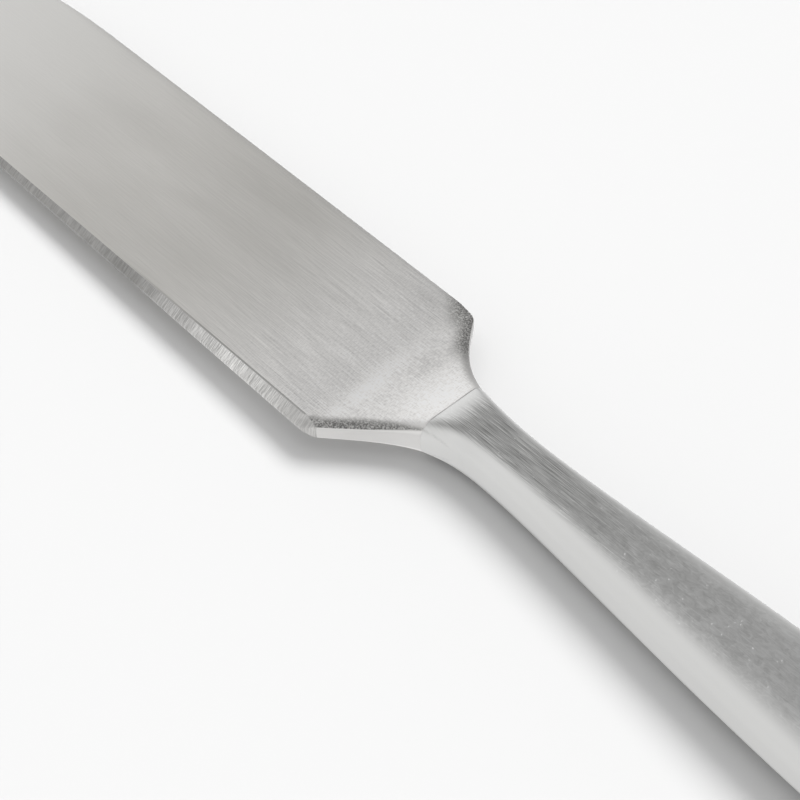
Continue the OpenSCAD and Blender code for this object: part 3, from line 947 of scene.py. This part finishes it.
# Tin-silver solder that has flowed along the seam: a soft grey metal with small ripples
# across the bead and dull patches of oxide
def flowedSolder():
    material, tree = newMaterial("flowed_tin_silver_solder")
    place = addNode(tree, "TexCoord", {}, "Object")
    rippled = addNode(tree, "Mapping", {"Vector": place, "Scale": perSize(*solder["ripple"])})
    ripples = addNode(tree, "TexNoise", {"Vector": rippled, "Scale": 1.0, "Detail": 1.0})
    patches = addNode(
        tree, "TexNoise", {"Vector": place, "Scale": 1 / (solder["patch"] * mm), "Detail": 4.0},
    )
    oxide = addNode(tree, "MapRange", {0: patches, 1: 0.4, 2: 0.6})
    dull, bright = srgb(solder["oxide"]), srgb(solder["bright"])
    colour = addNode(tree, "Mix", {0: oxide, 6: dull, 7: bright}, 2, data_type="RGBA")
    rough = addNode(tree, "MapRange", {0: patches, 1: 0.4, 2: 0.6, 3: 0.55, 4: 0.35})
    bump = addNode(
        tree, "Bump", {"Strength": 1.0, "Distance": solder["relief"] * mm, "Height": ripples},
    )
    shader = addNode(tree, "BsdfPrincipled", {
        "Base Color": colour, "Metallic": 1.0, "Roughness": rough, "Normal": bump,
    })
    addNode(tree, "OutputMaterial", {"Surface": shader})
    return material


# A soft round mark around (atX, atY): the share in its middle, its place and its size in mm
def softMark(x, y, share, atX, atY, sizeX, sizeY):
    return share * math.exp(-((x - atX) / sizeX) ** 2 - ((y - atY) / sizeY) ** 2)


def addMark(piece, name, values):
    mark = piece.data.attributes.new(name, "FLOAT", "POINT")
    mark.data.foreach_set("value", values)


# Which points lie on the broad faces, from 0 to 1
def markFaces(piece):
    addMark(piece, "broadFace", [between(abs(v.normal.z), 0.78, 0.99) for v in piece.data.vertices])


# The place of each point in mm, counted from the middle of the joint
def placesOf(piece):
    for v in piece.data.vertices:
        yield v, (v.co.x - jointX) / mm, v.co.y / mm, (v.co.z - seamZ) / mm


crease = {
    "height": 1.47,  # mm above the seam, where it crosses the joint
    "bladeRise": 0.17,  # it rises towards the joint
    "neckFall": 0.16,  # and falls off behind it, faster and faster
    "halfWidth": 0.09,
    "starts": (-3.5, -2),  # mm from the joint
    "ends": (3.2, 1.7),
}


# The faint crease along the side, from the shoulder over the joint, painted as a shade line: 1 on its
# line
def sideCrease(x, y, z):
    if y >= 0:
        return 0
    line = crease["height"] + (crease["bladeRise"] * x if x < 0 else -crease["neckFall"] * x ** 1.5)
    along = between(x, *crease["starts"]) * between(x, *crease["ends"])
    return along * math.exp(-((abs(z) - line) / crease["halfWidth"]) ** 2)


# Painted shade on the neck: a tongue out of the shoulder's roll, a patch behind the crest, the crease
def markNeck(piece):
    shades = []
    for v, x, y, z in placesOf(piece):
        tongue = softMark(x, y - satin["tongueSlant"] * x, *satin["tongue"])
        patch = softMark(x, y, *satin["patch"])
        shades.append(tongue + patch + satin["creaseShade"] * sideCrease(x, y, z))
    addMark(piece, "neckShade", shades)


# What the blade's material reads from its points: how far they lie inside the blasted strips behind the
# heel, and the painted highlight and shade on the heel, its upright sides and the side crease
def markHeel(piece):
    cuts, smears = [], []
    for v, x, y, z in placesOf(piece):
        row = bladeRow(min(max(x, -plan["bladeLength"]), 0))
        narrow, wide = brushed["frontBlast"]
        frontWidth = narrow + (wide - narrow) * between(x, *brushed["frontWidens"])
        frontWidth *= max(between(x, *brushed["frontStarts"]), 0.01)
        narrow, wide = brushed["backBlast"]
        backWidth = narrow + (wide - narrow) * between(x, *brushed["backWidens"])
        backWidth *= between(x, *brushed["backStarts"])
        # above 0 inside the strips, below 0 outside them and on the upright sides
        inFront = 1.05 - 1.2 * (y - row["front"]) / frontWidth
        inBack = (backWidth - (row["back"] - y)) * 0.33
        onTop = (abs(v.normal.z) - 0.45) * 6
        cuts.append(min(max(inFront, inBack), onTop) if x < 0.1 else -2.0)
        # painted highlight and shade: a pale bar, paler and darker patches, darker upright sides, the
        # crease
        smear = softMark(x + brushed["barSlant"] * y, y, *brushed["paleBar"])
        for mark in brushed["heelLightMarks"]:
            smear += softMark(x, y, *mark)
        upright = between(abs(v.normal.z), 0.35, 0.15) * between(x, -9, -7)
        smear -= brushed["sideShade"] * upright
        smears.append(smear - brushed["creaseShade"] * sideCrease(x, y, z))
    addMark(piece, "heelCut", cuts)
    addMark(piece, "heelPaintedLight", smears)


def layUv(piece):
    startEditing(piece)
    bpy.ops.uv.cube_project(cube_size=0.1)
    bpy.ops.object.mode_set(mode="OBJECT")


for piece in (bladePiece, upperShell, lowerShell):
    layUv(piece)
    piece.data.materials.clear()
    markFaces(piece)
markHeel(bladePiece)
bladePiece.data.materials.append(brushedStainlessSteel())
bladePiece.data.materials.append(crossGroundEdge())
groundEnd = jointX - groundEdge["heelEnd"] * plan["shoulderLength"] * mm
groundTop = bladeLow.y + groundEdge["reach"] * mm
for face in bladePiece.data.polygons:
    facesFront = face.normal.y < -0.3 and face.center.y < groundTop
    face.material_index = 1 if facesFront and face.center.x < groundEnd else 0
handleSteel = satinPolishedSteel()
for piece in (upperShell, lowerShell):
    markNeck(piece)
    piece.data.materials.append(handleSteel)
for name, material in (("tang_cement", pouredCement()), ("handle_seam_solder", flowedSolder())):
    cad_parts[name].data.materials.clear()
    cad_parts[name].data.materials.append(material)
print("materials:", ", ".join(material.name for material in bpy.data.materials if material.users))

for piece, node, slot in (
    (bladePiece, "blade", "blade_steel"),
    (upperShell, "handle_upper_half", "handle_steel"),
    (lowerShell, "handle_lower_half", "handle_steel"),
):
    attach(piece, "root")
    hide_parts(node)
print("joined: the blade and both shells ride on the root body")

studio = {
    "floorSize": 3.0,
    "lean": 0.9,  # degrees that the floor is tilted by
    "floorColour": "#c9c9c9",
    "belly": (5, 80),  # mm from the joint: it touches the handle somewhere between these
    "floorGap": 0.01,  # mm left under the handle
    "floorMirrored": 0.95,  # how pale the floor looks in the steel in front of the knife
    "floorBehind": (0.85, 0.48),  # and behind it, near by and further off
    "behindStarts": (1, 5),  # mm behind the knife's middle line
    "behindFades": (12, 45),
    # how much of this paleness the steel mirrors right under the handle and elsewhere; the
    # rest is the floor itself, with its shadow
    "mirrorShare": (0.1, 0.85),
    "shadowStarts": (-2.7, -1.5),  # mm from the middle line: the strip under the handle
    "shadowSlant": 0.06,
    "shadowEnds": (1, 3),
    "keyStrength": 2.6,
    "keySize": 32,  # degrees that the key light spans
    "keyTilt": -33,  # it stands behind the knife
    "fillStrength": 1.27,  # a broad soft box overhead
    "fillSize": 80,
    "fillTilt": -10,
}


# The knife leans towards the tip of its blade, so the floor is tilted under the belly of the
# handle: the place along the handle that touches it, and the height there
def findRest():
    slope = math.tan(math.radians(studio["lean"]))
    lowest = min(range(*studio["belly"]), key=lambda x: -handleRow(x)["half"] + slope * x)
    return jointX + lowest * mm, seamZ - handleRow(lowest)["half"] * mm


def makeFloor():
    restX, restZ = findRest()
    deselectAll()
    place, tilt = (restX, 0, restZ - studio["floorGap"] * mm), (0, math.radians(studio["lean"]), 0)
    bpy.ops.mesh.primitive_plane_add(size=studio["floorSize"], location=place, rotation=tilt)
    floor = bpy.context.object
    floor.name = "studio_floor"
    bpy.ops.object.transform_apply(location=True, rotation=True, scale=True)
    material, tree = newMaterial("matt_paper_floor")
    paper = addNode(tree, "BsdfDiffuse", {"Color": srgb(studio["floorColour"])})
    place = addNode(tree, "TexCoord", {}, "Object")
    x = addNode(tree, "SeparateXYZ", {0: place}, "X")
    y = addNode(tree, "SeparateXYZ", {0: place}, "Y")
    near, far = studio["floorBehind"]
    start, end = fromMiddle(*studio["behindFades"])
    pale = addNode(tree, "MapRange", {0: y, 1: start, 2: end, 3: near, 4: far})
    start, end = fromMiddle(*studio["behindStarts"])
    isBehind = addNode(tree, "MapRange", {0: y, 1: start, 2: end})
    pale = addNode(
        tree, "Mix", {0: isBehind, 2: studio["floorMirrored"], 3: pale}, 0, data_type="FLOAT",
    )
    mirrored = addNode(tree, "Emission", {"Color": (1, 1, 1, 1), "Strength": pale})
    # right under the handle the steel mirrors the shadow, so there the share is small
    fromHandle = addNode(tree, "Math", {0: x, 1: studio["shadowSlant"], 2: y}, operation="MULTIPLY_ADD")
    least, most = studio["mirrorShare"]
    start, end = fromMiddle(*studio["shadowStarts"])
    share = addNode(tree, "MapRange", {0: fromHandle, 1: start, 2: end, 3: most, 4: least})
    start, end = fromMiddle(*studio["shadowEnds"])
    behind = addNode(tree, "MapRange", {0: y, 1: start, 2: end, 3: 0.0, 4: most})
    share = addNode(tree, "Math", {0: share, 1: behind}, operation="MAXIMUM")
    glossy = addNode(tree, "LightPath", {}, "Is Glossy Ray")
    glossy = addNode(tree, "Math", {0: glossy, 1: share}, operation="MULTIPLY")
    shader = addNode(tree, "MixShader", {0: glossy, 1: paper, 2: mirrored})
    addNode(tree, "OutputMaterial", {"Surface": shader})
    floor.data.materials.append(material)
    print("floor: touches the handle at x =", round(restX / mm, 1), "mm")


makeFloor()

for name in ("key", "fill"):
    tilt = math.radians(studio[name + "Tilt"])
    bpy.ops.object.light_add(type="SUN", location=(0, 0.2, 0.5), rotation=(tilt, 0, 0))
    lamp = bpy.context.object
    lamp.name = name + "_light"
    lamp.data.energy = studio[name + "Strength"]
    lamp.data.angle = math.radians(studio[name + "Size"])
    lamp.visible_glossy = False  # the steel mirrors the studio's walls, not the lamps

# The room that the steel mirrors: pale along the horizon, a bright wall on the left and in
# front, and a dim ceiling that reaches down behind the knife
room = {
    "horizon": 0.94,
    "horizonFade": (0.06, 0.42),  # height at which it gives way to the wall and the ceiling
    "bright": 0.98,
    "dim": 0.36,
    "towards": (-0.93, -0.5, -0.93),
    "level": 0.92,
    "softness": 0.12,
    "behind": 0.57,  # the horizon behind the knife is darker by this factor
    "behindFade": (0.58, 0.9),
}


def makeRoom():
    world = bpy.data.worlds.new("studio_walls")
    bpy.context.scene.world = world
    world.use_nodes = True
    tree = world.node_tree
    tree.nodes.clear()
    look = addNode(tree, "TexCoord", {}, "Generated")
    height = addNode(tree, "SeparateXYZ", {0: look}, "Z")
    depth = addNode(tree, "SeparateXYZ", {0: look}, "Y")
    wall = addNode(tree, "VectorMath", {0: look, 1: room["towards"]}, "Value", operation="DOT_PRODUCT")
    low = room["dim"] - room["level"] - room["softness"]
    high = room["bright"] - room["level"] + room["softness"]
    wall = addNode(
        tree, "MapRange", {0: wall, 1: low, 2: high, 3: room["dim"], 4: room["bright"]},
        interpolation_type="SMOOTHSTEP",
    )
    start, end = room["horizonFade"]
    nearHorizon = addNode(
        tree, "MapRange", {0: height, 1: start, 2: end, 3: 1.0, 4: 0.0},
        interpolation_type="SMOOTHSTEP",
    )
    start, end = room["behindFade"]
    behind = addNode(
        tree, "MapRange", {0: depth, 1: start, 2: end, 3: 1.0, 4: room["behind"]},
        interpolation_type="SMOOTHSTEP",
    )
    horizon = addNode(tree, "Math", {0: behind, 1: room["horizon"]}, operation="MULTIPLY")
    level = addNode(tree, "Mix", {0: nearHorizon, 2: wall, 3: horizon}, 0, data_type="FLOAT")
    back = addNode(tree, "Background", {"Color": (1, 1, 1, 1), "Strength": level})
    addNode(tree, "OutputWorld", {"Surface": back})


makeRoom()
print("studio: both lights and the room are set")

view = {
    "place": (0.0706, -0.07038, 0.12302),
    "turn": (40.5, 0, 47.5),
    "lens": 81,
}
turn = [math.radians(angle) for angle in view["turn"]]
bpy.ops.object.camera_add(location=view["place"], rotation=turn)
camera = bpy.context.object
camera.name = "photo_view"
camera.data.lens = view["lens"]
camera.data.sensor_width = 36
camera.data.clip_start = 0.005
bpy.context.scene.camera = camera
bpy.context.scene.view_settings.view_transform = "Standard"
print("camera: set")
